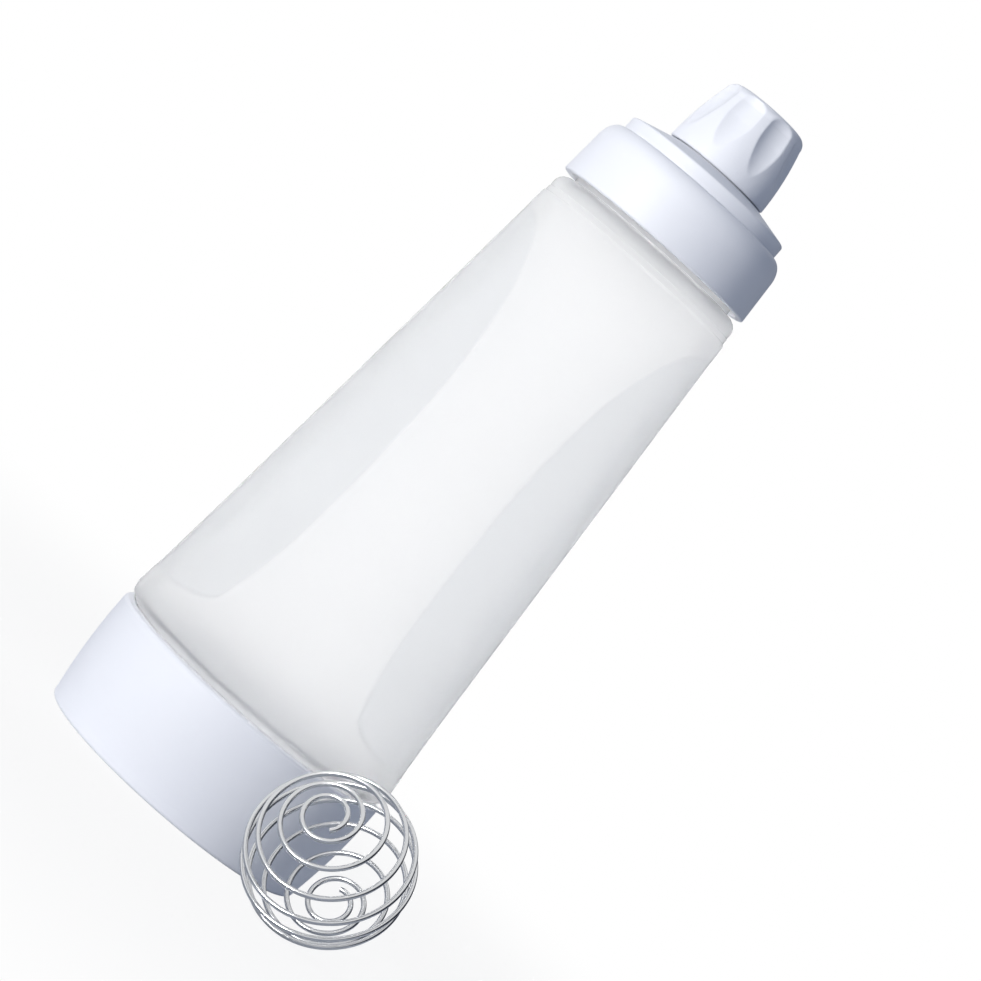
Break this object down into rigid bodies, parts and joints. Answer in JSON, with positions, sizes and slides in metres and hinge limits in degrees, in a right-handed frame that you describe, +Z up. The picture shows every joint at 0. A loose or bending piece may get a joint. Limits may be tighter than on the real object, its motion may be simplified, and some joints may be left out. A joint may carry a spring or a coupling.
{
  "type": "pancake batter dispenser",
  "caption": "Tall tapered batter mixing and pouring bottle with a screw-on base cup, screw-on lid with a soft spout tip, fluted nozzle cap and a loose wire whisk ball.",
  "frame": {"origin": "centre of the base cup's flat underside, on the surface that it stands on", "axes": "+Z up along the bottle's axis, -Y towards the picture's front, whisk ball to +X and -Y"},
  "size_m": [0.1299, 0.1523, 0.2923],
  "materials": {
    "white_plastic": "smooth moulded plastic, softly glossy",
    "frosted_bottle": "frosted translucent plastic",
    "red_silicone": "matt silicone",
    "seal_rubber": "soft translucent silicone",
    "steel_wire": "bright polished stainless wire"
  },
  "bodies": {
    "base": {"base_cup": "white_plastic"},
    "base_seal": {"base_seal": "seal_rubber"},
    "bottle": {"bottle": "frosted_bottle"},
    "lid_seal": {"lid_seal": "seal_rubber"},
    "lid": {"lid": "white_plastic", "spout_tip": "red_silicone"},
    "cap_seal": {"cap_seal": "seal_rubber"},
    "cap": {"nozzle_cap": "white_plastic"},
    "whisk": {"whisk_ball": "steel_wire"}
  },
  "joints": [
    {"name": "bottle_turn", "type": "hinge", "parent": "base", "child": "base_seal", "pos_m": [0, 0, 0], "axis": [0, 0, 1], "range_deg": [0, 869]},
    {"name": "bottle_lift", "type": "slide", "parent": "base_seal", "child": "bottle", "axis": [0, 0, 1], "range_m": [0, 0.024]},
    {"name": "lid_lift", "type": "slide", "parent": "bottle", "child": "lid_seal", "axis": [0, 0, 1], "range_m": [0, 0.019]},
    {"name": "lid_turn", "type": "hinge", "parent": "lid_seal", "child": "lid", "pos_m": [0, 0, 0], "axis": [0, 0, 1], "range_deg": [0, 860]},
    {"name": "cap_lift", "type": "slide", "parent": "lid", "child": "cap_seal", "axis": [0, 0, 1], "range_m": [0, 0.024]},
    {"name": "cap_turn", "type": "hinge", "parent": "cap_seal", "child": "cap", "pos_m": [0, 0, 0], "axis": [0, 0, 1], "range_deg": [0, 1445]},
    {"name": "whisk_pick_up", "type": "slide", "parent": "base", "child": "whisk", "axis": [0, 0, 1], "range_m": [0, 0.08]}
  ],
  "couplings": [
    {"joint": "bottle_turn", "follows": "bottle_lift", "rad_per_m": 628.32},
    {"joint": "lid_turn", "follows": "lid_lift", "rad_per_m": 785.4},
    {"joint": "cap_turn", "follows": "cap_lift", "rad_per_m": 1047.2}
  ]
}
